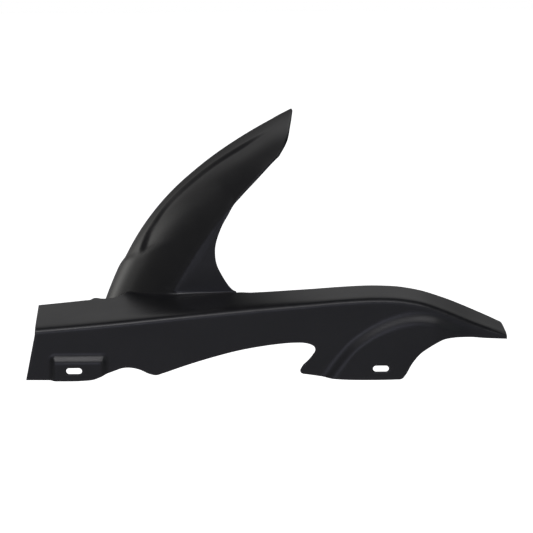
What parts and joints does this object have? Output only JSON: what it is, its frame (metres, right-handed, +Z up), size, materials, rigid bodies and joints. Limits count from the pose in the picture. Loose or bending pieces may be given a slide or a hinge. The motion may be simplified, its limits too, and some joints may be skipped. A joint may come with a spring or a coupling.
{
  "type": "motorcycle rear hugger with chain guard",
  "caption": "One-piece black plastic rear mudguard for a motorcycle: a swept arch over the wheel joined to a long chain guard with slotted fixing pads.",
  "frame": {"origin": "midway between the two fixing slots, on the outer face of their pads", "axes": "+X to the rear of the motorcycle, +Y to its right-hand side, +Z up"},
  "size_m": [0.482, 0.25, 0.2487],
  "materials": {
    "black_plastic": "satin black moulded ABS"
  },
  "bodies": {
    "root": {"hugger": "black_plastic"}
  },
  "joints": []
}
